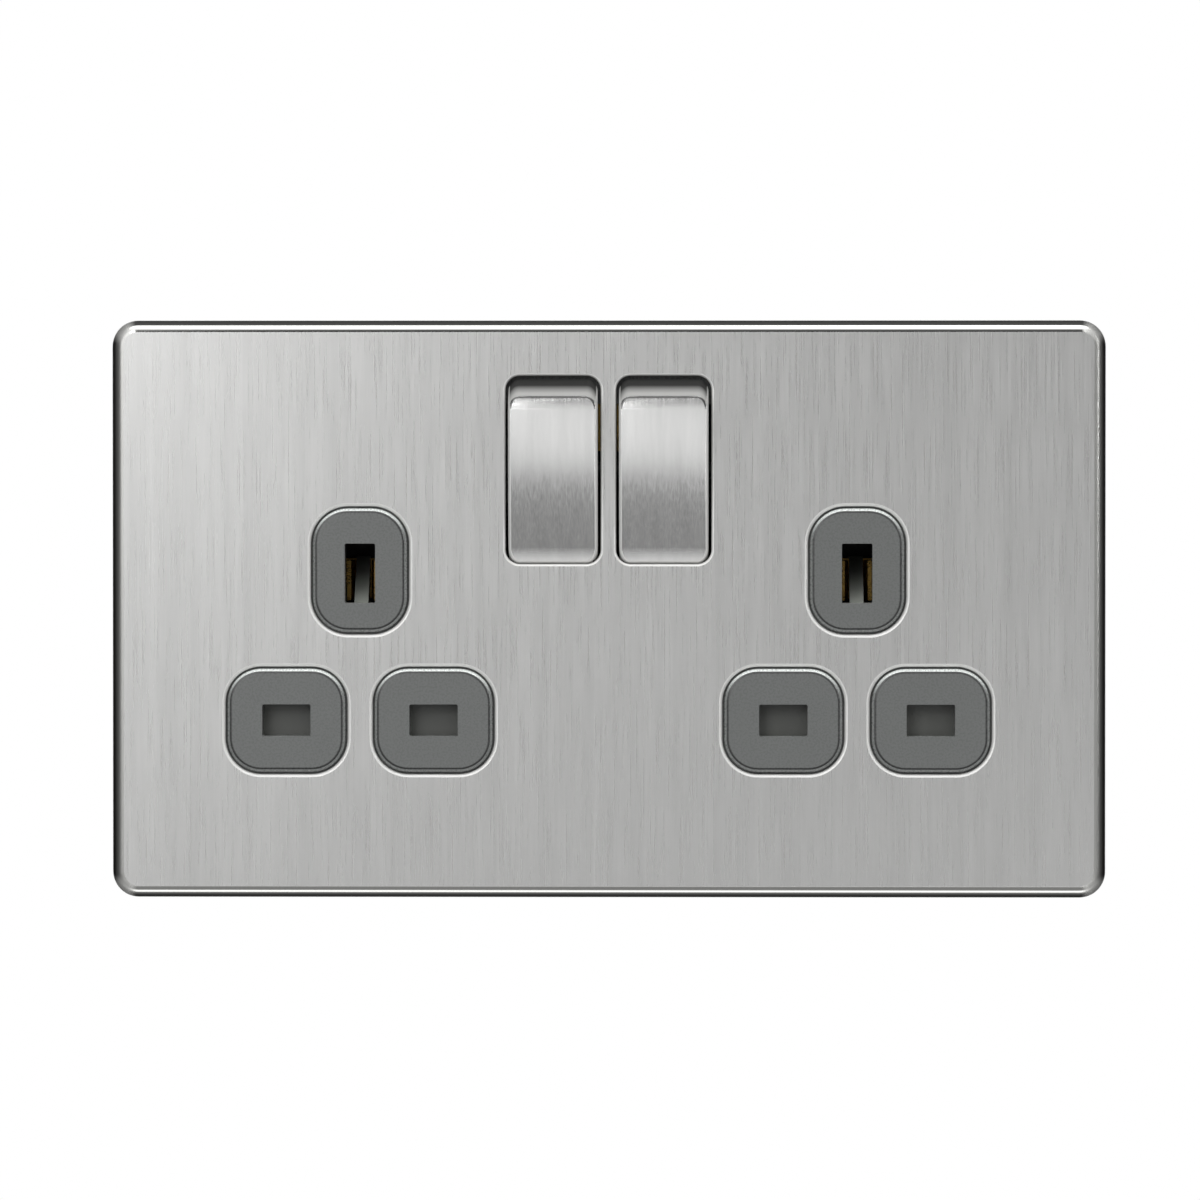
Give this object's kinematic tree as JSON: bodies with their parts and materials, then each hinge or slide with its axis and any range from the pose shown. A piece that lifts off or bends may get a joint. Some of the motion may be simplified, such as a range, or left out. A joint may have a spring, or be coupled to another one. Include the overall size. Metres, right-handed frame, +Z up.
{
  "type": "uk twin socket",
  "caption": "Flush twin wall socket outlet for three-pin plugs, with a rocker switch for each outlet, sprung shutters and a screwless brushed metal front plate.",
  "frame": {"origin": "midway between the two fixing holes, in the wall plane at the back of the mounting frame", "axes": "+X right seen from the front, +Y into the wall, +Z up; the front plate faces -Y"},
  "size_m": [0.15, 0.0311, 0.0872],
  "materials": {
    "brushed_steel": "vertical satin brushing, polished rolled edge",
    "grey_plastic": "fine moulded grey",
    "dark_plastic": "moulded dark grey",
    "black_plastic": "moulded black",
    "brass": "rolled strip and turned brass",
    "silver": "silver contact metal",
    "zinc_steel": "zinc plated steel",
    "spring_steel": "spring wire"
  },
  "bodies": {
    "base": {"mounting_frame": "black_plastic", "housing_front": "grey_plastic", "housing_rear": "black_plastic", "line_bar": "brass", "neutral_bar": "brass", "earth_bar": "brass", "fixed_tip_left": "silver", "live_bar_left": "brass", "live_contact_left": "brass", "neutral_contact_left": "brass", "earth_contact_left": "brass", "earth_strap_left": "brass", "shutter_spring_left": "spring_steel", "shutter_guide_left": "dark_plastic", "fixed_tip_right": "silver", "live_bar_right": "brass", "live_contact_right": "brass", "neutral_contact_right": "brass", "earth_contact_right": "brass", "earth_strap_right": "brass", "shutter_spring_right": "spring_steel", "shutter_guide_right": "dark_plastic", "housing_screw_top_left": "zinc_steel", "housing_screw_top_right": "zinc_steel", "housing_screw_bottom_left": "zinc_steel", "housing_screw_bottom_right": "zinc_steel", "terminal_block_line": "brass", "terminal_block_neutral": "brass", "terminal_block_earth_left": "brass", "terminal_block_earth_right": "brass"},
    "front_plate": {"front_plate": "brushed_steel"},
    "rocker_left": {"rocker_cap_left": "brushed_steel", "rocker_core_left": "dark_plastic", "plunger_spring_left": "spring_steel"},
    "plunger_left": {"plunger_left": "dark_plastic"},
    "rocking_contact_left": {"rocking_contact_left": "brass", "moving_tip_left": "silver"},
    "shutter_left": {"shutter_left": "dark_plastic"},
    "rocker_right": {"rocker_cap_right": "brushed_steel", "rocker_core_right": "dark_plastic", "plunger_spring_right": "spring_steel"},
    "plunger_right": {"plunger_right": "dark_plastic"},
    "rocking_contact_right": {"rocking_contact_right": "brass", "moving_tip_right": "silver"},
    "shutter_right": {"shutter_right": "dark_plastic"},
    "clamp_screw_line": {"clamp_screw_line": "zinc_steel"},
    "clamp_screw_neutral": {"clamp_screw_neutral": "zinc_steel"},
    "clamp_screw_earth_left": {"clamp_screw_earth_left": "zinc_steel"},
    "clamp_screw_earth_right": {"clamp_screw_earth_right": "zinc_steel"}
  },
  "joints": [
    {"name": "left_rocker_tilt", "type": "hinge", "parent": "base", "child": "rocker_left", "pos_m": [-0.00835, 0.0034, 0.021], "axis": [-1, 0, 0], "range_deg": [0, 16]},
    {"name": "left_contact_rock", "type": "hinge", "parent": "base", "child": "rocking_contact_left", "pos_m": [-0.00835, 0.0146, 0.021], "axis": [1, 0, 0], "range_deg": [0, 16]},
    {"name": "left_plunger_press", "type": "slide", "parent": "rocker_left", "child": "plunger_left", "axis": [0, -0.9903, -0.1392], "range_m": [0, 0.0012], "stiffness_N_per_m": 400, "springref_m": -0.003, "deforming": ["plunger_spring_left"]},
    {"name": "left_shutter_drop", "type": "slide", "parent": "base", "child": "shutter_left", "axis": [0, 0, -1], "range_m": [0, 0.0065], "stiffness_N_per_m": 80, "springref_m": -0.005, "deforming": ["shutter_spring_left"]},
    {"name": "right_rocker_tilt", "type": "hinge", "parent": "base", "child": "rocker_right", "pos_m": [0.00835, 0.0034, 0.021], "axis": [-1, 0, 0], "range_deg": [0, 16]},
    {"name": "right_contact_rock", "type": "hinge", "parent": "base", "child": "rocking_contact_right", "pos_m": [0.00835, 0.0146, 0.021], "axis": [1, 0, 0], "range_deg": [0, 16]},
    {"name": "right_plunger_press", "type": "slide", "parent": "rocker_right", "child": "plunger_right", "axis": [0, -0.9903, -0.1392], "range_m": [0, 0.0012], "stiffness_N_per_m": 400, "springref_m": -0.003, "deforming": ["plunger_spring_right"]},
    {"name": "right_shutter_drop", "type": "slide", "parent": "base", "child": "shutter_right", "axis": [0, 0, -1], "range_m": [0, 0.0065], "stiffness_N_per_m": 80, "springref_m": -0.005, "deforming": ["shutter_spring_right"]},
    {"name": "plate_unclip", "type": "slide", "parent": "base", "child": "front_plate", "axis": [0, -1, 0], "range_m": [0, 0.015]},
    {"name": "line_clamp_tighten", "type": "slide", "parent": "base", "child": "clamp_screw_line", "axis": [0, -1, 0], "range_m": [0, 0.003]},
    {"name": "neutral_clamp_tighten", "type": "slide", "parent": "base", "child": "clamp_screw_neutral", "axis": [0, -1, 0], "range_m": [0, 0.003]},
    {"name": "earth_left_clamp_tighten", "type": "slide", "parent": "base", "child": "clamp_screw_earth_left", "axis": [0, -1, 0], "range_m": [0, 0.003]},
    {"name": "earth_right_clamp_tighten", "type": "slide", "parent": "base", "child": "clamp_screw_earth_right", "axis": [0, -1, 0], "range_m": [0, 0.003]}
  ],
  "couplings": [
    {"joint": "left_contact_rock", "follows": "left_rocker_tilt", "ratio": 1},
    {"joint": "right_contact_rock", "follows": "right_rocker_tilt", "ratio": 1}
  ]
}
